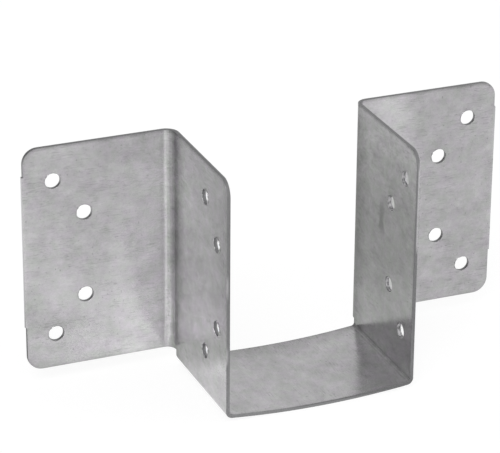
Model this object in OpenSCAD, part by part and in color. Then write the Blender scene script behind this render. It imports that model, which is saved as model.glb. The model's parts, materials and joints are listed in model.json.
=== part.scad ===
// Joist hanger: one galvanised steel sheet, punched, trimmed and folded into a stirrup
// with a flange on each side. The joist runs along Y and the header beam stands behind the
// flanges. The origin is the centre of the header nail pattern, on the flanges' back faces.

/* [Sheet] */
// Thickness of the steel sheet
sheet_t = 1.2; // [0.8:0.1:2]
// Inside radius of the bends between the seat and the side plates
seat_bend_r = 1; // [0.5:0.1:2]
// Inside radius of the bends between the side plates and the flanges
flange_bend_r = 3; // [1:0.1:4]
// Radius of the sheet's free corners
corner_r = 5; // [1:0.5:7]

/* [Stirrup] */
// Clear width between the side plates, one millimetre more than the joist
joist_w = 61; // [39:1:121]
// Depth of the side plates, from the header to their front edge
plate_d = 47; // [34:1:90]
// How far the middle of the seat sags below its ends
seat_sag = 1.6; // [0.4:0.1:3]

/* [Flanges] */
// Width of each flange, from the outside of its side plate
flange_w = 49; // [34:1:80]
// Height of the flanges
flange_h = 75; // [64:1:180]
// Height of the flanges' lower edges above the seat
flange_lift = 2.5; // [2.2:0.1:8]

/* [Edge steps] */
// How far the middle of a flange's outer edge stands proud of its trimmed ends
step_proud = 0.4; // [0.2:0.1:1]
// Length of the trimmed end at the top of a flange
step_top = 9; // [8:0.5:20]
// Length of the trimmed end at the bottom of a flange
step_bottom = 15; // [8:0.5:20]

/* [Nail holes] */
// Diameter of the nail holes
nail_d = 5; // [3:0.5:6]
// Distance of the upper and lower rows of holes from the flanges' edges
row_edge = 11.5; // [8:0.5:16]
// Distance from each of those rows to the next one inward
row_gap = 12; // [8:0.5:14]
// Distance of the flanges' outer column of holes from their outer edge
flange_column_edge = 10; // [8:0.5:12]
// Distance between a flange's two columns
flange_column_gap = 10; // [7:0.5:12]
// Distance of the side plates' front column of holes from their front edge
plate_column_edge = 8; // [6:0.5:12]
// Distance between a side plate's two columns
plate_column_gap = 9.5; // [7:0.5:12]

/* [Hidden] */
$fn = 96;
// Facets of a full circle of the seat's wide arc
seat_fn = 1440;
// Length by which a cutter passes the sheet that it cuts
past = 2;

// Inner and outer face of a side plate, outer edge of a flange and of its trimmed ends
plate_in = joist_w / 2;
plate_out = plate_in + sheet_t;
flange_out = plate_out + flange_w;
trim_out = flange_out - step_proud;

// Back edge of the seat, at the line where the flange bends begin
bend_y = -flange_bend_r - sheet_t;

// Upper and lower edges of the flanges and plates, and the height of the seat at its ends
top_z = flange_h / 2;
low_z = -flange_h / 2;
seat_z = low_z - flange_lift;

// Radius and centre height of the arc that sags by seat_sag across the joist's width
seat_r = (plate_in * plate_in + seat_sag * seat_sag) / (2 * seat_sag);
seat_mid_z = seat_z - seat_sag + seat_r;

// Centre of a seat bend: it touches the side plate and, from inside, the seat's arc
seat_bend_x = plate_in - seat_bend_r;
seat_bend_z = seat_mid_z - sqrt(pow(seat_r - seat_bend_r, 2) - pow(seat_bend_x, 2));
// Lean of the line through both centres, along which bend and arc meet
seat_lean = asin(seat_bend_x / (seat_r - seat_bend_r));

// Hole rows from the middle, hole columns from the joist's middle and from the header
row_far = top_z - row_edge;
row_near = row_far - row_gap;
column_far = flange_out - flange_column_edge;
column_near = column_far - flange_column_gap;
column_front = -plate_d + plate_column_edge;
column_back = column_front + plate_column_gap;

// Quarter of a ring from the direction of +Y round to -X, for a flange bend
module quarter_ring(r, wall) {
    intersection() {
        difference() {
            circle(r = r + wall);
            circle(r = r);
        }
        translate([-r - wall, 0])
            square(r + wall);
    }
}

// Section across the joist of everything inside the sheet's face, which lies face_out
// beyond the pocket's own walls: 0 for the pocket and sheet_t for the outside
module stirrup_section(face_out) {
    reach = seat_r + face_out + past;
    // The seat's arc, out to the lines where the bends take over
    intersection() {
        translate([0, seat_mid_z])
            circle(r = seat_r + face_out, $fn = seat_fn);
        polygon([
            [-seat_bend_x, seat_bend_z],
            [seat_bend_x, seat_bend_z],
            [reach * sin(seat_lean), seat_mid_z - reach * cos(seat_lean)],
            [-reach * sin(seat_lean), seat_mid_z - reach * cos(seat_lean)],
        ]);
    }
    // The two bends
    for (side = [-1, 1])
        translate([side * seat_bend_x, seat_bend_z])
            circle(r = seat_bend_r + face_out);
    // The space between the side plates
    translate([-plate_in - face_out, seat_bend_z])
        square([joist_w + 2 * face_out, top_z - seat_bend_z]);
}

// Seat, seat bends and side plates: one section run along the joist
module stirrup() {
    translate([0, bend_y, 0])
        rotate([90, 0, 0])
            linear_extrude(height = plate_d + bend_y)
                difference() {
                    stirrup_section(sheet_t);
                    stirrup_section(0);
                    translate([-plate_in, top_z - past])
                        square([joist_w, 2 * past]);
                }
}

// Side plate, flange bend and flange: one section run up the part
module angle() {
    translate([0, 0, low_z])
        linear_extrude(height = flange_h) {
            translate([plate_in, -plate_d])
                square([sheet_t, plate_d + bend_y]);
            translate([plate_out + flange_bend_r, bend_y])
                quarter_ring(flange_bend_r, sheet_t);
            translate([plate_out + flange_bend_r, -sheet_t])
                square([flange_w - flange_bend_r, sheet_t]);
        }
}

// What a rounded corner takes away, with the corner at the origin and the sheet below left
module corner_waste() {
    difference() {
        translate([-corner_r, -corner_r])
            square(corner_r + past);
        translate([-corner_r, -corner_r])
            circle(r = corner_r);
    }
}

// Rounds the upper front corner of a side plate
module plate_trim() {
    translate([plate_in - past, -plate_d, top_z])
        rotate([90, 0, 90])
            linear_extrude(height = sheet_t + 2 * past)
                mirror([1, 0])
                    corner_waste();
}

// Trims the ends of a flange's outer edge back and rounds its two corners
module flange_trim() {
    translate([0, past, 0])
        rotate([90, 0, 0])
            linear_extrude(height = sheet_t + 2 * past) {
                translate([trim_out, top_z - step_top])
                    square([step_proud + past, step_top + past]);
                translate([trim_out, low_z - past])
                    square([step_proud + past, step_bottom + past]);
                translate([trim_out, top_z])
                    corner_waste();
                translate([trim_out, low_z])
                    mirror([0, 1])
                        corner_waste();
            }
}

// Nail holes of one flange: the far rows in the outer column, the near rows in the inner one
module flange_nails() {
    for (hole = [[column_far, row_far], [column_near, row_near]])
        for (up = [-1, 1])
            translate([hole[0], past, up * hole[1]])
                rotate([90, 0, 0])
                    cylinder(d = nail_d, h = sheet_t + 2 * past);
}

// Nail holes of one side plate: the far rows in one column and the near rows in the other
module plate_nails(far_column, near_column) {
    for (hole = [[far_column, row_far], [near_column, row_near]])
        for (up = [-1, 1])
            translate([plate_in - past, hole[0], up * hole[1]])
                rotate([0, 90, 0])
                    cylinder(d = nail_d, h = sheet_t + 2 * past);
}

// The plates' columns swap from side to side, so that nails from both sides don't meet
module hanger() {
    color("silver")
        difference() {
            union() {
                stirrup();
                angle();
                mirror([1, 0, 0])
                    angle();
            }
            for (side = [0, 1])
                mirror([side, 0, 0]) {
                    plate_trim();
                    flange_trim();
                    flange_nails();
                }
            plate_nails(column_front, column_back);
            mirror([1, 0, 0])
                plate_nails(column_back, column_front);
        }
}

hanger();
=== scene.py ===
# %% [markdown]
# # A joist hanger folded from one galvanised sheet
# The real hanger starts as a flat steel blank that is already coated with zinc. A press punches
# the nail holes and shears the outline, and a brake then folds the two flanges and the stirrup.
# This lesson works in the same order: draw the blank, shear its edges, fold it, and give it the
# zinc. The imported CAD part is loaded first, because it fixes every size.

# %% Load the frame
import json
import math

import bpy
import bmesh
from mathutils import Matrix, Vector
from mathutils.geometry import delaunay_2d_cdt


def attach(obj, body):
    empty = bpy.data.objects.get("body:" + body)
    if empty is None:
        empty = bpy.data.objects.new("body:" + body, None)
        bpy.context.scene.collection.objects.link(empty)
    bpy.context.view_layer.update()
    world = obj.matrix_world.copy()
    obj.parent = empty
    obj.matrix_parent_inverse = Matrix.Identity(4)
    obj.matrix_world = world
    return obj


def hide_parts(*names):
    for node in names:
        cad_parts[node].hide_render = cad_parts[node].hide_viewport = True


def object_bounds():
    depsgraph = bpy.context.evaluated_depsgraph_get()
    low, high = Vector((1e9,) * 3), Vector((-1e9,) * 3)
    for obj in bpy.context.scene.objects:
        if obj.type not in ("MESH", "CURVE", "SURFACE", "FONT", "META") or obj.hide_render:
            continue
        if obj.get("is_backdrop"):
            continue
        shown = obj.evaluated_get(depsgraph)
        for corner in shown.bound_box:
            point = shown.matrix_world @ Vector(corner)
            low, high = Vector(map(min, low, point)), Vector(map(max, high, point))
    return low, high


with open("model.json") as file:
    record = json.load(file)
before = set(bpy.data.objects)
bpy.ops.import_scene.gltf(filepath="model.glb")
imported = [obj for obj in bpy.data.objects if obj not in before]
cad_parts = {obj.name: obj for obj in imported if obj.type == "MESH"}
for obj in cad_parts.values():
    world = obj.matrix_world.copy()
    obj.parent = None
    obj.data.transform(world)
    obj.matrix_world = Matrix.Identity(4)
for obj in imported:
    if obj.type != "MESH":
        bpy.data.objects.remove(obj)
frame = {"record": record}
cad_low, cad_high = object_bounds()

bpy.context.scene.view_settings.view_transform = "Standard"
MM = 0.001
print("CAD box, low and high corner:", tuple(cad_low), tuple(cad_high))

# %% [markdown]
# ## The camera
# The camera stands a little left of the hanger and looks down on it through a long lens. Two
# angles, a small roll, a distance and the point it aims at fix the view. Nothing is shifted: the
# aim alone puts the hanger in the frame.

# %% Camera
yaw, pitch, roll = math.radians(22.517), math.radians(24.28), math.radians(0.423)
camera_distance = 857.7 * MM
camera_aim = Vector((-14.1, -22.5, 10.36)) * MM
lens_length, film_width = 199.99, 36

forward = Vector((math.sin(yaw) * math.cos(pitch), math.cos(yaw) * math.cos(pitch), -math.sin(pitch)))
level = Vector((math.cos(yaw), -math.sin(yaw), 0))
right = level * math.cos(roll) + level.cross(forward) * math.sin(roll)
camera = bpy.data.objects.new("camera", bpy.data.cameras.new("camera"))
bpy.context.scene.collection.objects.link(camera)
bpy.context.scene.camera = camera
camera.data.lens = lens_length
camera.data.sensor_width = film_width
camera.location = camera_aim - forward * camera_distance
camera.rotation_mode = "QUATERNION"
camera.rotation_quaternion = Matrix((right, right.cross(forward), -forward)).transposed().to_quaternion()
print("camera stands at", tuple(camera.location))

# %% [markdown]
# ## Sizes of the sheet
# The frame gives what was drawn in CAD: the box of the whole part, the nail holes, and the inner
# faces of the plates. Only the sheet's own sizes, such as its thickness and its bend radii, are
# written here again.

# %% Sizes
sheet_t = 1.2 * MM
seat_bend_r = 1.0 * MM
flange_bend_r = 3.0 * MM
corner_r = 5.0 * MM
seat_sag = 1.6 * MM
flange_lift = 2.5 * MM
step_proud, step_top, step_bottom = 0.4 * MM, 9.0 * MM, 15.0 * MM

mounts = {mount["name"]: mount for mount in frame["record"]["mounts"]}
half_t = sheet_t / 2
plate_in = mounts["right_joist_face"]["pos_m"][0]
plate_front = cad_low.y
flange_out = cad_high.x
top_z, low_z = cad_high.z, -cad_high.z
bend_y = -flange_bend_r - sheet_t
seat_z = low_z - flange_lift
print("plate depth and flange width in mm:", -plate_front / MM, (flange_out - plate_in - sheet_t) / MM)

# %% [markdown]
# ## Two coordinates on the blank
# A folded sheet is easiest to draw flat. Here p runs along the stirrup, from the middle of the
# seat round a seat bend and up a side plate. And q runs along the joist, from the plates' front
# edge to the back, round a flange bend and out to the flange's outer edge. The third one, h, is
# the height above the middle of the sheet. Lengths are measured on the middle of the sheet.

# %% Arcs of the folded section
seat_r = (plate_in**2 + seat_sag**2) / (2 * seat_sag)
seat_centre_z = seat_z - seat_sag + seat_r
seat_bend_x = plate_in - seat_bend_r
seat_bend_z = seat_centre_z - math.sqrt((seat_r - seat_bend_r) ** 2 - seat_bend_x**2)
seat_lean = math.asin(seat_bend_x / (seat_r - seat_bend_r))

seat_mid_r = seat_r + half_t
seat_bend_mid_r = seat_bend_r + half_t
flange_bend_mid_r = flange_bend_r + half_t
seat_half = seat_mid_r * seat_lean
seat_bend_length = seat_bend_mid_r * (math.pi / 2 - seat_lean)
flange_bend_length = flange_bend_mid_r * math.pi / 2


def p_of(z):
    """Blank length from the middle of the seat to the height z on a side plate."""
    return seat_half + seat_bend_length + z - seat_bend_z


def q_of(x):
    """Blank length on a flange at the distance x from the joist's middle."""
    return bend_y + flange_bend_length + x - plate_in - sheet_t - flange_bend_r


p_top, p_low = p_of(top_z), p_of(low_z)
q_out, q_trim = q_of(flange_out), q_of(flange_out - step_proud)
print("flat blank in mm:", 2 * p_top / MM, "by", (q_out - plate_front) / MM)

# %% [markdown]
# ## Outline and nail holes
# The outline goes once round the blank with the metal on its left, and each hole goes the other
# way, so that the metal is on the left there too. That one rule lets a single function move any
# edge into the metal. The left half is the right half mirrored. The nail holes come from the
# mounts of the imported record.

# %% Outline and holes
CORNER_STEPS = 12
HOLE_STEPS = 56


def arc(centre, radius, start, end, steps):
    """Points of an arc in the plane of the blank, angles in degrees."""
    turns = [math.radians(start + (end - start) * i / steps) for i in range(steps + 1)]
    return [(centre[0] + radius * math.cos(turn), centre[1] + radius * math.sin(turn)) for turn in turns]


right_half = [
    *arc((p_top - corner_r, plate_front + corner_r), corner_r, -90, 0, CORNER_STEPS),
    *arc((p_top - corner_r, q_trim - corner_r), corner_r, 0, 90, CORNER_STEPS),
    (p_top - step_top, q_trim),
    (p_top - step_top, q_out),
    (p_low + step_bottom, q_out),
    (p_low + step_bottom, q_trim),
    *arc((p_low + corner_r, q_trim - corner_r), corner_r, 90, 180, CORNER_STEPS),
    (p_low, bend_y),
]
outline = right_half + [(-p, q) for p, q in reversed(right_half)]

holes = []
for name in ("header_far_nails", "header_near_nails"):
    size = mounts[name]["dims"]
    for side in (-1, 1):
        for up in (-1, 1):
            p = side * p_of(up * size["spacing_y_mm"] / 2 * MM)
            holes.append((p, q_of(size["spacing_x_mm"] / 2 * MM), size["hole_r_mm"] * MM))
for side, word in ((-1, "left"), (1, "right")):
    for row in ("far", "near"):
        mount = mounts[f"{word}_plate_{row}_nails"]
        for up in (-1, 1):
            p = side * p_of(up * mount["dims"]["spacing_y_mm"] / 2 * MM)
            holes.append((p, mount["pos_m"][1], mount["dims"]["hole_r_mm"] * MM))
print(len(holes), "nail holes and", len(outline), "outline points")

# %% [markdown]
# ## Lines that let the sheet bend
# A mesh can only bend along its edges. So the blank gets a line at every few degrees of each
# fold, and one just before and after it, which keeps the shading of the flat faces flat. Every
# loop gets a point where it crosses such a line, so that edges and faces meet point to point.

# %% Fold lines
SEAT_STEPS, SEAT_BEND_STEPS, FLANGE_BEND_STEPS = 20, 10, 14
margin = 0.4 * MM
face_inset = 1.1 * MM

p_side = [seat_half * i / SEAT_STEPS for i in range(1, SEAT_STEPS)]
p_side += [seat_half + seat_bend_length * i / SEAT_BEND_STEPS for i in range(SEAT_BEND_STEPS + 1)]
p_side += [seat_half + seat_bend_length + margin]
p_lines = [-p for p in reversed(p_side)] + [0.0] + p_side
q_lines = [bend_y + flange_bend_length * i / FLANGE_BEND_STEPS for i in range(1, FLANGE_BEND_STEPS + 1)]
q_lines += [bend_y + flange_bend_length + margin]
plate_line = bend_y - face_inset


def cut_at_folds(loop):
    """The same loop with a point wherever one of its edges crosses a fold line."""
    points = []
    for start, end in zip(loop, loop[1:] + loop[:1]):
        shares = [0.0]
        for axis, lines in ((0, p_lines), (1, [plate_line] + q_lines)):
            reach = end[axis] - start[axis]
            if abs(reach) > margin / 10:
                shares += [(line - start[axis]) / reach for line in lines]
        for share in sorted(share for share in shares if 0 <= share < 1):
            points.append(tuple(a + (b - a) * share for a, b in zip(start, end)))
    return points


loops = [cut_at_folds(outline)]
for p, q, radius in holes:
    loops.append(arc((p, q), radius, 360, 360 / HOLE_STEPS, HOLE_STEPS - 1))
print(len(p_lines) + len(q_lines) + 1, "fold lines,", len(loops[0]), "points round the blank")

# %% [markdown]
# ## The sheared edge
# A shear first rolls the sheet's surface over a little, then cuts a short bright band, and at
# last the steel tears off, which leaves a rougher face that leans in. The edge profile below
# lists these as pairs: how far into the metal, and how high. Each pair becomes one ring round
# every loop. The first and last rings lie on the flat faces and carry the faces' mesh.

# %% Rings round every edge
rollover = [(0.14, 0.600), (0.10, 0.600), (0.05, 0.590), (0.01, 0.565), (0.00, 0.520)]
cut_face = [(0.00, 0.060), (0.03, -0.200), (0.05, -0.560), (0.06, -0.600), (0.10, -0.600), (0.14, -0.600)]
edge_profile = [(inset * MM, height * MM) for inset, height in rollover + cut_face]
edge_profile = [(face_inset, half_t)] + edge_profile + [(face_inset, -half_t)]


def moved_in(loop, inset):
    """The loop moved into the metal on its left by inset, with mitred corners."""
    moved = []
    for before, here, after in zip(loop[-1:] + loop[:-1], loop, loop[1:] + loop[:1]):
        normals = []
        for start, end in ((before, here), (here, after)):
            step = Vector((end[0] - start[0], end[1] - start[1])).normalized()
            normals.append(Vector((-step.y, step.x)))
        mitre = (normals[0] + normals[1]) / (1 + normals[0].dot(normals[1]))
        moved.append((here[0] + inset * mitre.x, here[1] + inset * mitre.y))
    return moved


face_loops = [moved_in(loop, face_inset) for loop in loops]
print("rings round each edge:", len(edge_profile))

# %% [markdown]
# ## The two faces
# Blender can fill a flat drawing with triangles that respect given lines. It gets the inner
# rings and the fold lines, and what lies in a hole or outside the outline is thrown away. The
# same triangles make both faces of the sheet, one at each height.

# %% Fill the blank
def inside(point, loop):
    """Whether a point lies within a closed loop."""
    crossings = 0
    for start, end in zip(loop, loop[1:] + loop[:1]):
        if (start[1] > point[1]) != (end[1] > point[1]):
            at = start[0] + (point[1] - start[1]) / (end[1] - start[1]) * (end[0] - start[0])
            crossings += at > point[0]
    return crossings % 2 == 1


points, lines = [], []
for loop in face_loops:
    first = len(points)
    points += loop
    lines += [(first + i, first + (i + 1) % len(loop)) for i in range(len(loop))]
folds = [((p, plate_front + face_inset), (p, plate_line)) for p in p_lines]
for side in (-1, 1):
    folds += [((side * (p_low + face_inset), q), (side * (p_top - face_inset), q)) for q in q_lines]
folds.append(((face_inset - p_top, plate_line), (p_top - face_inset, plate_line)))
for start, end in folds:
    lines.append((len(points), len(points) + 1))
    points += [start, end]

fill_reach = 0.0001 * MM
filled = delaunay_2d_cdt([Vector(point) for point in points], lines, [], 0, fill_reach)
face_points, triangles = filled[0], []
for corners in filled[2]:
    middle = sum((face_points[i] for i in corners), Vector((0, 0))) / 3
    if inside(middle, face_loops[0]) and not any(inside(middle, loop) for loop in face_loops[1:]):
        triangles.append(corners)
print("triangles on each face:", len(triangles))

# %% [markdown]
# ## Build the blank
# The two faces and the rings become one mesh. Rings can be bridged by Blender's own tool, but here
# they are built face by face, because each ring also gets two marks for the finishes to read: one
# says whether the shear cut it, the other whether it lies on the outline or round a hole. The
# first three rings and the last three lie on the flat faces, so the cut is what lies between.
# Points that lie together are merged, and the blank has to come out closed.

# %% Build the flat blank
flat_rings = 3
rings_on_edge = range(1, len(edge_profile) - 1)
rings_in_cut = range(flat_rings, len(edge_profile) - flat_rings)
merge_reach = 0.001 * MM

blank_mesh = bpy.data.meshes.new("blank")
blank_edit = bmesh.new()
cut_layer = blank_edit.verts.layers.float.new("sheared")
rim_layer = blank_edit.verts.layers.float.new("rim")
for (_, height), flip in ((edge_profile[0], False), (edge_profile[-1], True)):
    corners = [blank_edit.verts.new((point.x, point.y, height)) for point in face_points]
    for triangle in triangles:
        order = [corners[i] for i in triangle]
        blank_edit.faces.new(reversed(order) if flip else order)
for loop in loops:
    rings = []
    for index, (inset, height) in enumerate(edge_profile):
        ring = [blank_edit.verts.new((p, q, height)) for p, q in moved_in(loop, inset)]
        for corner in ring:
            corner[cut_layer] = float(index in rings_in_cut)
            corner[rim_layer] = float(loop is loops[0] and index in rings_on_edge)
        rings.append(ring)
    for upper, lower in zip(rings, rings[1:]):
        for i in range(len(loop)):
            j = (i + 1) % len(loop)
            blank_edit.faces.new((upper[j], upper[i], lower[i], lower[j]))
bmesh.ops.remove_doubles(blank_edit, verts=blank_edit.verts, dist=merge_reach)
loose = [corner for corner in blank_edit.verts if not corner.link_faces]
bmesh.ops.delete(blank_edit, geom=loose, context="VERTS")
open_edges = sum(not edge.is_manifold for edge in blank_edit.edges)
volume = blank_edit.calc_volume() / MM**3
print("blank:", len(blank_edit.faces), "faces,", open_edges, "open edges,", volume, "mm3")
blank_edit.to_mesh(blank_mesh)
blank_edit.free()

# %% [markdown]
# ## Short ways to write a node tree
# Geometry Nodes and shaders are both trees of nodes. Written out in Python, each node takes
# several lines, so these helpers add one and wire it in a single line. They take a socket or a
# plain number alike, and so a formula reads nearly as it does on paper.

# %% Helpers for node trees
def wire(tree, value, socket):
    """Join a socket to a node's input, or set the input to a plain value."""
    if isinstance(value, bpy.types.NodeSocket):
        tree.links.new(value, socket)
    else:
        socket.default_value = value


def calc(tree, operation, *values):
    """One math node, and its result."""
    node = tree.nodes.new("ShaderNodeMath")
    node.operation = operation
    for value, socket in zip(values, node.inputs):
        wire(tree, value, socket)
    return node.outputs[0]


def total(tree, *values):
    """The sum of any number of values."""
    result = values[0]
    for value in values[1:]:
        result = calc(tree, "ADD", result, value)
    return result


def product(tree, *values):
    """The product of any number of values."""
    result = values[0]
    for value in values[1:]:
        result = calc(tree, "MULTIPLY", result, value)
    return result


def add(tree, kind, inputs=None, **settings):
    """One node with its settings and inputs set, by name or by number."""
    node = tree.nodes.new(kind)
    for name, value in settings.items():
        setattr(node, name, value)
    for name, value in (inputs or {}).items():
        wire(tree, value, node.inputs[name])
    return node


def new_tree(name, inputs):
    """A geometry tree with a geometry input, the named inputs and a geometry output."""
    tree = bpy.data.node_groups.new(name, "GeometryNodeTree")
    tree.interface.new_socket("Geometry", in_out="INPUT", socket_type="NodeSocketGeometry")
    for label, kind in inputs.items():
        tree.interface.new_socket(label, in_out="INPUT", socket_type=kind)
    tree.interface.new_socket("Geometry", in_out="OUTPUT", socket_type="NodeSocketGeometry")
    return tree, tree.nodes.new("NodeGroupInput").outputs, tree.nodes.new("NodeGroupOutput").inputs


# %% [markdown]
# ## Folding with Geometry Nodes
# The fold is one formula, so one node group does it for everything that is made flat. It reads
# p, q and h from each point's position. The turned angle grows along the seat and the seat bend
# and stops at a right angle, and the same happens round a flange bend. What is left over runs
# straight. The formula moves a point to the middle of the sheet and then out by h.

# %% Turned angles of the fold
fold_sizes = {
    "Seat radius": seat_mid_r,
    "Seat centre height": seat_centre_z,
    "Seat half length": seat_half,
    "Seat bend radius": seat_bend_mid_r,
    "Seat bend length": seat_bend_length,
    "Flange bend radius": flange_bend_mid_r,
    "Flange bend length": flange_bend_length,
    "Flange bend line": bend_y,
}
fold, given, result = new_tree("fold_sheet", dict.fromkeys(fold_sizes, "NodeSocketFloat"))
place = add(fold, "ShaderNodeSeparateXYZ", {0: fold.nodes.new("GeometryNodeInputPosition").outputs[0]})
p, q, h = place.outputs
side = calc(fold, "SIGN", p)
along = calc(fold, "ABSOLUTE", p)

seat_part = calc(fold, "MINIMUM", along, given["Seat half length"])
seat_turn = calc(fold, "DIVIDE", seat_part, given["Seat radius"])
past_seat = calc(fold, "SUBTRACT", along, seat_part)
bend_part = calc(fold, "MINIMUM", past_seat, given["Seat bend length"])
turn = total(fold, seat_turn, calc(fold, "DIVIDE", bend_part, given["Seat bend radius"]))
climb = calc(fold, "SUBTRACT", past_seat, bend_part)

past_line = calc(fold, "MAXIMUM", calc(fold, "SUBTRACT", q, given["Flange bend line"]), 0.0)
flange_part = calc(fold, "MINIMUM", past_line, given["Flange bend length"])
swing = calc(fold, "DIVIDE", flange_part, given["Flange bend radius"])
run_out = calc(fold, "SUBTRACT", past_line, flange_part)
depth = calc(fold, "MINIMUM", q, given["Flange bend line"])

sin_seat, cos_seat = calc(fold, "SINE", seat_turn), calc(fold, "COSINE", seat_turn)
sin_turn, cos_turn = calc(fold, "SINE", turn), calc(fold, "COSINE", turn)
sin_swing, cos_swing = calc(fold, "SINE", swing), calc(fold, "COSINE", swing)
print("turned angles:", len(fold.nodes), "nodes")

# %% [markdown]
# ## Where each point goes
# With the angles known, the place is a sum of arcs and straight runs. The left half uses the same
# sum with its sign turned round. Before the points move, their place on the flat blank is stored,
# so that the finishes can still read it.

# %% Folded place
new_x = total(
    fold,
    product(fold, given["Seat radius"], sin_seat),
    product(fold, given["Seat bend radius"], calc(fold, "SUBTRACT", sin_turn, sin_seat)),
    product(fold, given["Flange bend radius"], calc(fold, "SUBTRACT", 1.0, cos_swing)),
    run_out,
    product(fold, h, sin_turn, cos_swing, -1.0),
)
new_y = total(
    fold,
    depth,
    product(fold, given["Flange bend radius"], sin_swing),
    product(fold, h, sin_swing),
)
new_z = total(
    fold,
    given["Seat centre height"],
    product(fold, given["Seat radius"], cos_seat, -1.0),
    product(fold, given["Seat bend radius"], calc(fold, "SUBTRACT", cos_seat, cos_turn)),
    climb,
    product(fold, h, cos_turn),
)
folded_place = add(fold, "ShaderNodeCombineXYZ", {0: product(fold, new_x, side), 1: new_y, 2: new_z})
flat_place = fold.nodes["Position"].outputs[0]
keep = {"Geometry": given["Geometry"], "Name": "on_blank", "Value": flat_place}
kept_place = add(fold, "GeometryNodeStoreNamedAttribute", keep, data_type="FLOAT_VECTOR", domain="POINT")
move = {"Geometry": kept_place.outputs[0], "Position": folded_place.outputs[0]}
wire(fold, add(fold, "GeometryNodeSetPosition", move).outputs[0], result["Geometry"])
print("folding group:", len(fold.nodes), "nodes")

# %% [markdown]
# ## From a tree to a plain mesh
# A modifier could stay on its object, but the finished hanger is kept as plain meshes that any
# program can read. So each tree ends in real geometry with its material set, runs once on a
# source mesh, and its outcome is copied. The source and its modifier are then thrown away.

# %% Helpers that end and run a tree
def folded(tree, given, geometry):
    """Put the folding group at the end of a tree, with the sizes passed through."""
    group = add(tree, "GeometryNodeGroup", node_tree=fold)
    wire(tree, geometry, group.inputs["Geometry"])
    for label in fold_sizes:
        wire(tree, given[label], group.inputs[label])
    return group.outputs[0]


def finish_tree(tree, geometry, material, result):
    """End a tree as every tree here ends: real geometry with its material set."""
    real = add(tree, "GeometryNodeRealizeInstances", {"Geometry": geometry})
    painted = add(tree, "GeometryNodeSetMaterial", {"Geometry": real.outputs[0], "Material": material})
    wire(tree, painted.outputs[0], result["Geometry"])


def made_by(tree, source_mesh, name, values):
    """Run a tree on a mesh and keep the outcome as a plain mesh object."""
    source = bpy.data.objects.new(name + "_source", source_mesh)
    bpy.context.scene.collection.objects.link(source)
    modifier = source.modifiers.new(tree.name, "NODES")
    modifier.node_group = tree
    for item in tree.interface.items_tree:
        if item.in_out == "INPUT" and item.name in values:
            modifier[item.identifier] = values[item.name]
    graph = bpy.context.evaluated_depsgraph_get()
    outcome = source.evaluated_get(graph)
    mesh = bpy.data.meshes.new_from_object(outcome, preserve_all_data_layers=True, depsgraph=graph)
    mesh.name = name
    piece = bpy.data.objects.new(name, mesh)
    bpy.context.scene.collection.objects.link(piece)
    source.modifiers.remove(modifier)
    bpy.data.objects.remove(source)
    print(name, "has", len(mesh.polygons), "faces")
    return piece


# %% [markdown]
# ## Two finishes in blank coordinates
# Zinc, and the steel that the shear bares, are the only finishes. They could be painted on an
# unwrapped image, but noises that read the blank's own coordinates need no image, keep their real
# scale in millimetres and run on round every bend. First come the helpers, one for each kind of
# node that both finishes use.

# %% Helpers for the finishes
def shader(name):
    """A new material, its tree and its Principled shader."""
    material = bpy.data.materials.new(name)
    material.use_nodes = True
    return material, material.node_tree, material.node_tree.nodes["Principled BSDF"]


def scaled(tree, vector, factors):
    """A vector with each part multiplied by its own factor."""
    node = add(tree, "ShaderNodeVectorMath", operation="MULTIPLY")
    wire(tree, vector, node.inputs[0])
    node.inputs[1].default_value = factors
    return node.outputs[0]


def noise(tree, vector, scale, detail=2.0, roughness=0.5):
    """Noise between 0 and 1, with its scale in cells per unit of the vector."""
    inputs = {"Vector": vector, "Scale": scale, "Detail": detail, "Roughness": roughness}
    return add(tree, "ShaderNodeTexNoise", inputs).outputs["Fac"]


def seeded_noise(tree, vector, cell, seed):
    """Noise between 0 and 1 with cells of the given size, different for every seed."""
    inputs = {"Vector": vector, "W": product(tree, seed, cell), "Scale": 1 / cell, "Detail": 0.0}
    return add(tree, "ShaderNodeTexNoise", inputs, noise_dimensions="4D").outputs["Fac"]


def spread(tree, value, low, high, new_low, new_high, kind="LINEAR"):
    """A value mapped from one range to another, and held within it."""
    node = add(tree, "ShaderNodeMapRange", interpolation_type=kind)
    sockets = ("Value", "From Min", "From Max", "To Min", "To Max")
    for socket, number in zip(sockets, (value, low, high, new_low, new_high)):
        wire(tree, number, node.inputs[socket])
    return node.outputs[0]


def blend(tree, share, first, second):
    """A colour between two colours."""
    node = add(tree, "ShaderNodeMix", data_type="RGBA")
    wire(tree, share, node.inputs["Factor"])
    wire(tree, first, node.inputs["A"])
    wire(tree, second, node.inputs["B"])
    return node.outputs["Result"]


def shade(tree, colour, factor):
    """A colour made darker or lighter by a factor."""
    node = add(tree, "ShaderNodeVectorMath", operation="SCALE")
    wire(tree, colour, node.inputs[0])
    wire(tree, factor, node.inputs["Scale"])
    return node.outputs[0]


def blank_place(tree):
    """Where a point lay on the flat blank, in millimetres, and its three parts."""
    place = add(tree, "ShaderNodeAttribute", attribute_name="on_blank").outputs["Vector"]
    in_mm = scaled(tree, place, (1 / MM, 1 / MM, 1 / MM))
    return in_mm, *add(tree, "ShaderNodeSeparateXYZ", {0: in_mm}).outputs


def stretch(tree, value, low, high, fade):
    """1 where a value lies between two limits, and 0 past them, with a short fade at both."""
    return product(
        tree,
        spread(tree, value, low - fade, low + fade, 0.0, 1.0),
        spread(tree, value, high - fade, high + fade, 1.0, 0.0),
    )


def proud_stretch(tree, along, across):
    """1 on the stretch of a flange's outer edge that stands proud, and 0 elsewhere."""
    low, high = (p_low + step_bottom) / MM, (p_top - step_top) / MM
    at_edge = spread(tree, across, q_trim / MM - 1.0, q_trim / MM - 0.2, 0.0, 1.0)
    return product(tree, stretch(tree, along, low, high, 0.3), at_edge)


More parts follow.
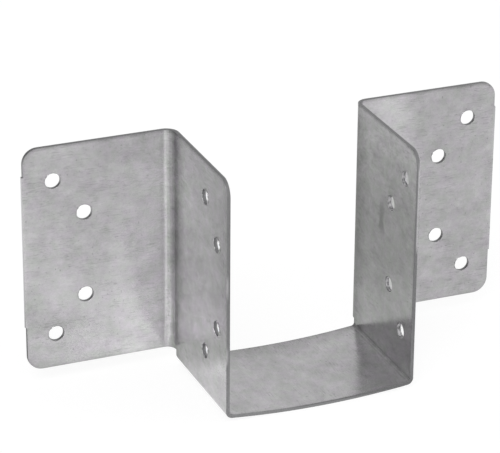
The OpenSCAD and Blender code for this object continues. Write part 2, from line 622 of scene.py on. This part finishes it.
# %% [markdown]
# ## What the zinc looks like everywhere
# The hot zinc sets in clouds of slightly different grey. Over them lie a finer mottle, a faint
# change of tint, short dark dashes from the mill's rollers, which follow q, and a few specks. Each
# is one noise with its own cell size. The clouds' start shifts that noise to a stretch of it
# whose largest patches lie roughly as on the real piece.

# %% Noises in the zinc
CLOUD_START = (0, 0, 30000)

zinc, tree, surface = shader("galvanised_sheet")
blank_mm, p, across, height = blank_place(tree)
along = calc(tree, "ABSOLUTE", p)
cloud_place = add(tree, "ShaderNodeVectorMath", {0: blank_mm, 1: CLOUD_START}, operation="ADD")
clouds = noise(tree, cloud_place.outputs[0], 0.05, 2.0, 0.6)
mottle = noise(tree, scaled(tree, blank_mm, (1.2, 0.85, 1.0)), 0.16, 5.0, 0.9)
tint = noise(tree, blank_mm, 0.22, 2.0, 0.7)
dashes = noise(tree, scaled(tree, blank_mm, (2.6, 0.26, 0.3)), 1.0, 1.0, 0.5)
dash_clouds = noise(tree, blank_mm, 0.09, 1.0, 0.5)
specks = noise(tree, blank_mm, 1.3, 0.0, 0.5)
print("noises in the zinc:", len(tree.nodes), "nodes")

# %% [markdown]
# ## Marks by place, and painted shade and light
# Some marks sit at a place. Painted shade darkens the zinc along the outline's rim, most along the
# top edges, and the rim stays bright where a flange's edge stands proud. Painted shade darkens the
# plates just before a flange bend, and painted light brightens the flanges beside it. Painted shade
# darkens the inside of the seat bends, and the right plate has one dark scuff inside. Each mark is
# a factor that fades in and out along p or q.

# %% Marks by place
RIM_PAINTED_SHADE, PROUD_GAIN = (-0.08, -0.32), 0.18
BEND_PAINTED_SHADE, FLANGE_PAINTED_LIGHT, CORNER_PAINTED_SHADE = -0.25, 0.22, -0.36
SCUFF_P, SCUFF_Q, SCUFF_DULL = (73.0, 82.3), -23.1, -0.36

rim = add(tree, "ShaderNodeAttribute", attribute_name="rim").outputs["Fac"]
# Painted shade: the zinc along the outline's rim is darkened, a little everywhere and most near the top
# edges, while the proud stretches are lightened.
rim_shade_and_proud_gain = total(
    tree,
    spread(tree, along, p_top / MM - 3.0, p_top / MM - 1.0, *RIM_PAINTED_SHADE),
    product(tree, proud_stretch(tree, along, across), PROUD_GAIN),
)
# Painted shade: the plates are darkened just before a flange bend, in the corner where shade falls.
painted_bend_shade = product(
    tree,
    spread(tree, across, -12.0, -4.5, 0.0, BEND_PAINTED_SHADE),
    spread(tree, across, -4.0, -2.0, 1.0, 0.0),
)
# Painted light: the flanges are lightened beside a bend, where they mirror the darker plate.
painted_flange_light = product(
    tree,
    spread(tree, across, -1.0, 3.0, 0.0, 1.0),
    spread(tree, across, 12.0, 20.0, FLANGE_PAINTED_LIGHT, 0.0),
)

on_inside = spread(tree, height, 0.0, 0.4, 0.0, 1.0)
# Painted shade: the inside of the seat bends is darkened, in the crease between the seat and a plate.
corner_ends = seat_half / MM, (seat_half + seat_bend_length) / MM
painted_corner_shade = product(tree, stretch(tree, along, *corner_ends, 0.4), CORNER_PAINTED_SHADE)

scuff_wander = spread(tree, tint, 0.3, 0.7, -0.7, 0.7)
scuff_off = calc(tree, "ABSOLUTE", total(tree, across, -SCUFF_Q, scuff_wander))
scuff = product(
    tree,
    stretch(tree, p, *SCUFF_P, 1.5),
    SCUFF_DULL,
    spread(tree, scuff_off, 0.9, 2.2, 1.0, 0.0),
    spread(tree, mottle, 0.38, 0.55, 0.5, 1.0),
)
print("with the marks by place:", len(tree.nodes), "nodes")

# %% [markdown]
# ## Put the zinc together
# All the tones add up to one factor on a grey that shifts between a greenish and a lilac one.
# Zinc is a metal, so its colour is what it mirrors times that grey. A little relief and a
# roughness that follows the mottle break the reflections up as the real surface does.

# %% Galvanised sheet
GREENISH_ZINC, LILAC_ZINC = (0.588, 0.597, 0.586, 1), (0.621, 0.596, 0.631, 1)
DASH_DULL, SPECK_DULL = -0.15, -0.25
RELIEF_HEIGHT = 0.03 * MM

grey = blend(tree, spread(tree, tint, 0.35, 0.65, 0.0, 1.0), GREENISH_ZINC, LILAC_ZINC)
dash_share = spread(tree, dash_clouds, 0.42, 0.6, 0.1, 1.0)
tone = total(
    tree,
    1.0,
    spread(tree, clouds, 0.3, 0.7, -0.08, 0.08),
    spread(tree, mottle, 0.3, 0.7, -0.16, 0.16),
    product(tree, spread(tree, dashes, 0.56, 0.64, 0.0, DASH_DULL), dash_share),
    spread(tree, specks, 0.76, 0.82, 0.0, SPECK_DULL),
    painted_bend_shade,
    painted_flange_light,
    product(tree, rim, rim_shade_and_proud_gain),
    product(tree, on_inside, painted_corner_shade),
    product(tree, on_inside, scuff),
)
wire(tree, shade(tree, grey, tone), surface.inputs["Base Color"])
surface.inputs["Metallic"].default_value = 1.0
wire(tree, total(tree, 0.17, spread(tree, mottle, 0.35, 0.65, 0.0, 0.06)), surface.inputs["Roughness"])
relief = total(tree, mottle, product(tree, dashes, 0.2))
bump = add(tree, "ShaderNodeBump", {"Strength": 0.2, "Distance": RELIEF_HEIGHT, "Height": relief})
wire(tree, bump.outputs[0], surface.inputs["Normal"])
print("galvanised sheet:", len(tree.nodes), "nodes")

# %% [markdown]
# ## The sheared steel
# A sheared edge shows steel, darker and rougher than zinc, with fine tears across it. The shear
# also drags zinc over parts of it. On the plates' free edges that happens in patches, on the torn
# half. These patches and the flash further on read one noise, so they come together. Zinc is also
# dragged into the right plate's nail holes, and the proud stretches on the flanges keep theirs.

# %% Sheared steel
FLASH_CELL, FLASH_SEED = 28 * MM, 515.0
FLASH_FROM, FLASH_FULL = 0.62, 0.65
BARE_STEEL, DRAGGED_ZINC = (0.26, 0.26, 0.265), (0.62, 0.61, 0.625, 1)

steel, tree, surface = shader("sheared_edge")
blank_mm, p, across, height = blank_place(tree)
tears = noise(tree, scaled(tree, blank_mm, (6.0, 6.0, 0.8)), 1.0, 2.0, 0.6)
bare_grey = shade(tree, BARE_STEEL, spread(tree, tears, 0.3, 0.7, 0.75, 1.25))

on_plate = spread(tree, across, bend_y / MM - 3.0, bend_y / MM - 1.0, 1.0, 0.0)
flash_noise = seeded_noise(tree, blank_mm, FLASH_CELL / MM, FLASH_SEED)
patches = spread(tree, flash_noise, FLASH_FROM, FLASH_FULL, 0.0, 1.0)
ragged_height = total(tree, height, spread(tree, tears, 0.3, 0.7, -0.2, 0.2))
smeared = product(tree, on_plate, patches, spread(tree, ragged_height, 0.1, -0.1, 0.0, 1.0))

rim = add(tree, "ShaderNodeAttribute", attribute_name="rim").outputs["Fac"]
in_hole = total(tree, 1.0, product(tree, rim, -1.0))
on_right = spread(tree, p, 0.0, 1.0, 0.0, 1.0)
streaks = spread(tree, noise(tree, blank_mm, 0.8, 1.0, 0.5), 0.42, 0.56, 0.0, 0.8)
dragged = product(tree, in_hole, on_plate, on_right, streaks)
kept = proud_stretch(tree, calc(tree, "ABSOLUTE", p), across)
covered = calc(tree, "MAXIMUM", calc(tree, "MAXIMUM", smeared, dragged), kept)

wire(tree, blend(tree, covered, bare_grey, DRAGGED_ZINC), surface.inputs["Base Color"])
surface.inputs["Metallic"].default_value = 1.0
torn = spread(tree, height, 0.1, 0.0, 0.0, 1.0)
wire(tree, spread(tree, torn, 0.0, 1.0, 0.3, 0.45), surface.inputs["Roughness"])
bump = add(tree, "ShaderNodeBump", {"Strength": 0.6, "Distance": RELIEF_HEIGHT, "Height": tears})
wire(tree, bump.outputs[0], surface.inputs["Normal"])
print("sheared steel:", len(tree.nodes), "nodes")

# %% [markdown]
# ## Fold the sheet
# The tree below folds the blank and then sets the two finishes: zinc everywhere, and sheared
# steel where all corners of a face lie on the rings that the shear cut. The sheet goes with the
# part's one body and takes the place of the plain CAD solid.

# %% Folded sheet
WHOLLY_CUT = 0.99
crease = math.radians(40)

two_finishes = dict.fromkeys(("Zinc", "Steel"), "NodeSocketMaterial")
sheet_inputs = dict.fromkeys(fold_sizes, "NodeSocketFloat") | two_finishes
sheet_tree, given, result = new_tree("folded_sheet", sheet_inputs)
shape = folded(sheet_tree, given, given["Geometry"])
real = add(sheet_tree, "GeometryNodeRealizeInstances", {"Geometry": shape})
all_zinc = {"Geometry": real.outputs[0], "Material": given["Zinc"]}
coated = add(sheet_tree, "GeometryNodeSetMaterial", all_zinc)
cut = add(sheet_tree, "GeometryNodeInputNamedAttribute", {"Name": "sheared"}, data_type="FLOAT")
is_cut = calc(sheet_tree, "GREATER_THAN", cut.outputs["Attribute"], WHOLLY_CUT)
cut_steel = {"Geometry": coated.outputs[0], "Selection": is_cut, "Material": given["Steel"]}
bare = add(sheet_tree, "GeometryNodeSetMaterial", cut_steel)
wire(sheet_tree, bare.outputs[0], result["Geometry"])

sheet = made_by(sheet_tree, blank_mesh, "hanger_sheet", fold_sizes | {"Zinc": zinc, "Steel": steel})
sheet.data.shade_smooth()
sheet.data.set_sharp_from_angle(angle=crease)
measure = bmesh.new()
measure.from_mesh(sheet.data)
print("folded sheet:", measure.calc_volume() / MM**3, "mm3 in", [tuple(corner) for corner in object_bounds()])
measure.free()
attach(sheet, "root")
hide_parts("hanger")

# %% [markdown]
# ## Small marks in relief
# Punch, shear and brake also leave marks that stand out of the sheet by a few tenths of a
# millimetre. They are too small to model by hand and too plain to need it. Each kind is made by a
# tree of its own on a mesh of points, folds with the sheet, and has the same zinc.

# %% Helpers for small marks
def points_mesh(name, points, lines=()):
    """A mesh of points, and of the lines between them, for a tree to build on."""
    mesh = bpy.data.meshes.new(name)
    mesh.from_pydata(points, list(lines), [])
    return mesh


def zinc_detail(tree, source_mesh, name, values):
    """A finished small piece of zinc that goes with the sheet."""
    piece = made_by(tree, source_mesh, name, fold_sizes | {"Material": zinc} | values)
    piece.data.shade_smooth()
    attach(piece, "root")
    return piece


fold_inputs = dict.fromkeys(fold_sizes, "NodeSocketFloat") | {"Material": "NodeSocketMaterial"}

# %% [markdown]
# ## Lips round the nail holes
# A punch pushes a small ragged lip of zinc out of the far side of every hole. Geometry Nodes
# place one ring on every hole's centre, each turned by its own angle, and a noise in blank
# coordinates makes each one ragged in its own way. The lips on the plates are larger than those
# on the flanges, so the tree runs twice with other sizes.

# %% Lips at the holes
lip_inputs = dict.fromkeys(("Ring radius", "Lip size", "Lip height", "Seed"), "NodeSocketFloat")
tree, given, result = new_tree("punched_lips", fold_inputs | lip_inputs)
circle = {"Resolution": HOLE_STEPS, "Radius": given["Ring radius"]}
path = add(tree, "GeometryNodeCurvePrimitiveCircle", circle)
section = add(tree, "GeometryNodeCurvePrimitiveCircle", {"Resolution": 6, "Radius": given["Lip size"]})
place = add(tree, "GeometryNodeInputPosition").outputs[0]
ragged = spread(tree, seeded_noise(tree, place, 1.2 * MM, given["Seed"]), 0.35, 0.65, 0.3, 1.0)
swept = {"Curve": path.outputs[0], "Profile Curve": section.outputs[0], "Scale": ragged}
ring = add(tree, "GeometryNodeCurveToMesh", swept)
# Input 3 is the largest plain number that can be drawn, and output 1 is the number drawn.
turn = add(tree, "FunctionNodeRandomValue", {"Seed": 1, 3: 2 * math.pi}, data_type="FLOAT")
turned = add(tree, "ShaderNodeCombineXYZ", {2: turn.outputs[1]})
where = {"Points": given["Geometry"], "Instance": ring.outputs[0], "Rotation": turned.outputs[0]}
placed = add(tree, "GeometryNodeInstanceOnPoints", where)
real = add(tree, "GeometryNodeRealizeInstances", {"Geometry": placed.outputs[0]})
rag = spread(tree, seeded_noise(tree, place, 0.7 * MM, given["Seed"]), 0.4, 0.7, 0.0, 1.0)
drop = add(tree, "ShaderNodeCombineXYZ", {2: product(tree, rag, given["Lip height"], -1.0)})
pushed = add(tree, "GeometryNodeSetPosition", {"Geometry": real.outputs[0], "Offset": drop.outputs[0]})
finish_tree(tree, folded(tree, given, pushed.outputs[0]), given["Material"], result)

hole_r = holes[0][2]
flange_lip = {
    "Ring radius": hole_r + 0.11 * MM,
    "Lip size": 0.13 * MM,
    "Lip height": 0.14 * MM,
    "Seed": 3.0,
}
plate_lip = {"Ring radius": hole_r, "Lip size": 0.24 * MM, "Lip height": 0.2 * MM, "Seed": 5.0}
flange_holes, plate_holes = holes[:8], holes[8:]
for name, group, sizes in (
    ("flange_lips", flange_holes, flange_lip),
    ("plate_lips", plate_holes, plate_lip),
):
    centres = points_mesh(name + "_centres", [(p, q, -half_t) for p, q, _ in group])
    zinc_detail(tree, centres, name, sizes)

# %% [markdown]
# ## Flash along the plates' free edges
# Shears that are no longer sharp leave a thin broken line of flash on the side where the steel
# tore. It follows the plates' front and top edges, so it is a tube along that curve. The noise
# that smears zinc over the sheared steel also decides where there is any flash, and a finer one
# decides how thick it is. Between the patches the tube is thinner than its seat is deep, so it
# stays hidden in the steel. The last step keeps every point inside the sizes of the blank.

# %% Flash on the free edges
flash_sizes = {"Flash size": 0.34 * MM, "Hidden size": 0.02 * MM, "Step": 0.25 * MM, "Seed": FLASH_SEED}
limit_inputs = dict.fromkeys(("Lowest", "Highest"), "NodeSocketVector")
flash_inputs = fold_inputs | limit_inputs | dict.fromkeys(flash_sizes, "NodeSocketFloat")
tree, given, result = new_tree("edge_flash", flash_inputs)
line = add(tree, "GeometryNodeMeshToCurve", {"Mesh": given["Geometry"]})
resampled = {"Curve": line.outputs[0], "Length": given["Step"]}
steps = add(tree, "GeometryNodeResampleCurve", resampled, mode="LENGTH")
place = add(tree, "GeometryNodeInputPosition").outputs[0]
flash_noise = seeded_noise(tree, place, FLASH_CELL, given["Seed"])
patches = spread(tree, flash_noise, FLASH_FROM, FLASH_FULL, 0.0, 1.0)
rag = spread(tree, seeded_noise(tree, place, 0.9 * MM, given["Seed"]), 0.35, 0.75, 0.1, 1.0)
thick = total(tree, given["Hidden size"], product(tree, patches, rag, given["Flash size"]))
section = add(tree, "GeometryNodeCurvePrimitiveCircle", {"Resolution": 5, "Radius": 1.0})
swept = {"Curve": steps.outputs[0], "Profile Curve": section.outputs[0], "Scale": thick}
tube = add(tree, "GeometryNodeCurveToMesh", swept | {"Fill Caps": True})
above = add(tree, "ShaderNodeVectorMath", {0: place, 1: given["Lowest"]}, operation="MAXIMUM").outputs[0]
within = add(tree, "ShaderNodeVectorMath", {0: above, 1: given["Highest"]}, operation="MINIMUM").outputs[0]
held = add(tree, "GeometryNodeSetPosition", {"Geometry": tube.outputs[0], "Position": within})
finish_tree(tree, folded(tree, given, held.outputs[0]), given["Material"], result)

flash_inset, flash_seat = 0.06 * MM, 0.04 * MM
corner_centre = p_top - corner_r, plate_front + corner_r
corner = arc(corner_centre, corner_r - flash_inset, -90, 0, CORNER_STEPS)
free_edge = [(p_low, plate_front + flash_inset), *corner, (p_top - flash_inset, bend_y)]
flash_path, flash_lines = [], []
for side in (-1, 1):
    first = len(flash_path)
    flash_lines += [(first + i, first + i + 1) for i in range(len(free_edge) - 1)]
    flash_path += [(side * p, q, flash_seat - half_t) for p, q in free_edge]
limits = {"Lowest": (-p_top, plate_front, -sheet_t), "Highest": (p_top, q_out, 0.0)}
zinc_detail(tree, points_mesh("flash_path", flash_path, flash_lines), "edge_flash", flash_sizes | limits)

# %% [markdown]
# ## Marks of the brake
# The brake's tool leaves a row of tiny beads where it lets go of the zinc, near the end of each
# flange bend. They could be strewn on the surface, but a row needs only a mesh line. Random
# values then move and size the beads, which are short ellipsoids half sunk in the zinc.

# %% Beads along the bends
bead_row = {
    "Count": 62,
    "Spacing": 1.17 * MM,
    "Start": p_low + 1.5 * MM,
    "Across": bend_y + 0.84 * flange_bend_length,
    "Height": -half_t,
    "Seed": 5,
}
strew = 0.5 * MM, 0.12 * MM
smallest_bead = Vector((0.06, 0.05, 0.02)) * MM
largest_bead = Vector((0.30, 0.13, 0.06)) * MM

row_inputs = {
    name: "NodeSocketInt" if type(value) is int else "NodeSocketFloat"
    for name, value in bead_row.items()
}
tree, given, result = new_tree("bend_beads", fold_inputs | row_inputs)
rows = add(tree, "GeometryNodeJoinGeometry")
for side in (-1.0, 1.0):
    start_p = product(tree, given["Start"], side)
    start = add(tree, "ShaderNodeCombineXYZ", {0: start_p, 1: given["Across"], 2: given["Height"]})
    step = add(tree, "ShaderNodeCombineXYZ", {0: product(tree, given["Spacing"], side)})
    run = {"Count": given["Count"], "Start Location": start.outputs[0], "Offset": step.outputs[0]}
    tree.links.new(add(tree, "GeometryNodeMeshLine", run).outputs[0], rows.inputs[0])
shift = add(tree, "FunctionNodeRandomValue", {"Seed": given["Seed"]}, data_type="FLOAT_VECTOR")
shift.inputs["Min"].default_value = (-strew[0], -strew[1], 0.0)
shift.inputs["Max"].default_value = (*strew, 0.0)
moved = {"Geometry": rows.outputs[0], "Offset": shift.outputs[0]}
strewn = add(tree, "GeometryNodeSetPosition", moved)
bead_scale = add(tree, "FunctionNodeRandomValue", {"Seed": given["Seed"]}, data_type="FLOAT_VECTOR")
bead_scale.inputs["Min"].default_value = smallest_bead
bead_scale.inputs["Max"].default_value = largest_bead
bead = add(tree, "GeometryNodeMeshUVSphere", {"Segments": 8, "Rings": 5, "Radius": 1.0})
where = {"Points": strewn.outputs[0], "Instance": bead.outputs[0], "Scale": bead_scale.outputs[0]}
beads = add(tree, "GeometryNodeInstanceOnPoints", where)
real = add(tree, "GeometryNodeRealizeInstances", {"Geometry": beads.outputs[0]})
finish_tree(tree, folded(tree, given, real.outputs[0]), given["Material"], result)
zinc_detail(tree, points_mesh("no_source", []), "bend_beads", bead_row)

# %% [markdown]
# ## Floor
# The floor is a pale sheet under the seat, and it takes the hanger's shadow. A light path node
# adds a white of its own for the camera and for what metal mirrors, so that the background comes
# out white while the lamps stay at a plain level.

# %% Floor
floor_z = cad_low.z
floor_half = 3.0
PAPER_GREY, PAPER_ROUGHNESS = (0.85, 0.85, 0.85, 1), 0.9
OWN_WHITE, OWN_SHARE = 1.13, 0.75


def level_sheet(name, centre, half, height):
    """A flat stage object over the floor, twice as large as the two half sizes."""
    mesh = bpy.data.meshes.new(name)
    mesh.from_pydata([(-1, -1, 0), (1, -1, 0), (1, 1, 0), (-1, 1, 0)], [], [(0, 1, 2, 3)])
    thing = bpy.data.objects.new(name, mesh)
    thing.location = (centre[0], centre[1], floor_z + height)
    thing.scale = (half[0], half[1], 1)
    bpy.context.scene.collection.objects.link(thing)
    thing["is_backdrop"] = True
    return thing


floor = level_sheet("floor", (0, 0), (floor_half, floor_half), 0.0)
paper, tree, surface = shader("white_floor")
surface.inputs["Base Color"].default_value = PAPER_GREY
surface.inputs["Roughness"].default_value = PAPER_ROUGHNESS
own_white = add(tree, "ShaderNodeEmission", {"Strength": OWN_WHITE}).outputs[0]
seen = add(tree, "ShaderNodeLightPath").outputs
mirrored = calc(tree, "MAXIMUM", seen["Is Glossy Ray"], seen["Is Transmission Ray"])
share = product(tree, calc(tree, "MAXIMUM", seen["Is Camera Ray"], mirrored), OWN_SHARE)
both = add(tree, "ShaderNodeMixShader", {0: share, 1: surface.outputs[0], 2: own_white})
wire(tree, both.outputs[0], tree.nodes["Material Output"].inputs["Surface"])
floor.data.materials.append(paper)
print("floor at", floor_z / MM, "mm, with", len(tree.nodes), "nodes")

# %% [markdown]
# ## Cards that the metal mirrors
# Bright metal looks like whatever it mirrors, so a photographer lays cards beside it, just
# outside the picture. Each card here lies over the floor, fades out at its edges and shows only
# in reflections. All are greys below the floor's white. The two large ones in front and on the
# right tone the flanges. Those behind tone the inside of the right plate, and those at the left
# and front left tone the left plate and the corner by its bend. The two smallest lie under the
# front edges, and the one in front of the seat is a painted shadow: it stands for the shade under
# the seat's front edge, which the metal mirrors. What the plates mirror is slightly green, as the
# real zinc looks there.

# %% Cards
GREENISH, GREENER = (0.98, 1.0, 0.97, 1), (0.97, 1.0, 0.96, 1)


def card(name, centre, half, edge, grey, height, turned=0.0, tint=(1, 1, 1, 1)):
    """A card: centre and half sizes in mm, the share that fades out, its grey and its height."""
    sheet_card = level_sheet(name, [c * MM for c in centre], [h * MM for h in half], height * MM)
    sheet_card.rotation_euler.z = math.radians(turned)
    material = bpy.data.materials.new(name)
    material.use_nodes = True
    tree = material.node_tree
    place = add(tree, "ShaderNodeTexCoord").outputs["Object"]
    across = add(tree, "ShaderNodeSeparateXYZ", {0: place}).outputs
    shares = []
    for axis in (0, 1):
        off_middle = calc(tree, "ABSOLUTE", across[axis])
        shares.append(spread(tree, off_middle, 1 - edge[axis], 1.0, 1.0, 0.0, "SMOOTHSTEP"))
    clear = add(tree, "ShaderNodeBsdfTransparent").outputs[0]
    shown = add(tree, "ShaderNodeEmission", {"Color": tint, "Strength": grey}).outputs[0]
    both = add(tree, "ShaderNodeMixShader", {0: product(tree, *shares), 1: clear, 2: shown})
    wire(tree, both.outputs[0], tree.nodes["Material Output"].inputs["Surface"])
    sheet_card.data.materials.append(material)
    for sight in ("camera", "diffuse", "transmission", "volume_scatter", "shadow"):
        setattr(sheet_card, "visible_" + sight, False)
    return sheet_card


card("front_card", (140, -190), (200, 170), (0.2, 0.8), 0.67, 0.2)
card("right_card", (150, -40), (125, 110), (0.25, 0.6), 0.69, 0.3)
card("flange_card", (-36, -98), (17, 85), (0.7, 0.3), 0.67, 0.35, 22.5)
card("left_card", (-213, -18), (150, 123), (0.3, 0.33), 0.48, 0.4, -22.5)
card("near_back_card", (5, 10), (50, 35), (0.4, 0.3), 0.53, 0.45, 0.0, GREENISH)
card("back_card", (-12, 118), (65, 112), (0.5, 0.45), 0.42, 0.5, 0.0, GREENISH)
card("pocket_card", (-6, 58), (42, 36), (0.6, 0.7), 0.4, 0.55, 0.0, GREENISH)
card("side_card", (-55, 21), (30, 39), (0.5, 0.4), 0.56, 0.6, 0.0, GREENISH)
card("plate_card", (-108, -128), (62, 112), (0.5, 0.4), 0.68, 0.65, 0.0, GREENER)
card("foot_card", (-38, -29), (9, 17), (0.6, 0.6), 0.72, 0.7)
card("corner_card", (-68, -115), (18, 110), (0.55, 0.4), 0.9, 0.75, -22.5)
# A painted shadow: this card stands for the shade under the seat's front edge.
card("seat_shadow_card", (14, -51), (26, 6), (0.3, 0.6), 0.6, 0.8)

# %% [markdown]
# ## The studio round it
# The world stands for the room: a soft white that is brighter in front and on the right, where
# the windows would be, than behind and on the left. It needs no picture of a room, because a
# straight sum of the direction's parts gives that slope.

# %% World
ROOM_LEVEL, TO_THE_RIGHT, TO_THE_BACK = 0.67, 0.32, -0.15

world = bpy.data.worlds.new("studio")
bpy.context.scene.world = world
world.use_nodes = True
tree = world.node_tree
background = tree.nodes["Background"]
direction = add(tree, "ShaderNodeTexCoord").outputs["Generated"]
toward = add(tree, "ShaderNodeSeparateXYZ", {0: direction}).outputs
background.inputs["Color"].default_value = (1, 1, 1, 1)
to_right = product(tree, toward[0], TO_THE_RIGHT)
to_back = product(tree, toward[1], TO_THE_BACK)
wire(tree, total(tree, ROOM_LEVEL, to_right, to_back), background.inputs["Strength"])
print("room light:", ROOM_LEVEL, "in the middle,", ROOM_LEVEL + TO_THE_RIGHT, "on the right")

# %% [markdown]
# ## One softbox
# Light from all sides alone leaves no direction. A square area lamp at the upper front left adds
# a gentle one, and a soft shadow on the floor. It is weak, so that the zinc keeps its grey.

# %% Softbox
def softbox(name, place, aim, size, power):
    """A square area lamp that points at a place on the hanger."""
    lamp = bpy.data.lights.new(name, "AREA")
    lamp.size = size
    lamp.energy = power
    holder = bpy.data.objects.new(name, lamp)
    holder.location = place
    holder.rotation_mode = "QUATERNION"
    holder.rotation_quaternion = (Vector(aim) - Vector(place)).to_track_quat("-Z", "Y")
    bpy.context.scene.collection.objects.link(holder)
    return holder


key = softbox("key", place=(-0.5, -0.6, 0.8), aim=(0, 0, 0), size=0.5, power=3.0)
print("softbox at", tuple(key.location), "with", key.data.energy, "W")

# %% [markdown]
# ## Measure it once more
# The dressed hanger has to fill the CAD box and never pass it. Both boxes are printed.

# %% Sizes
size = {"cad": [list(cad_low), list(cad_high)], "visual": [list(corner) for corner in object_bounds()]}
print("size:", size)
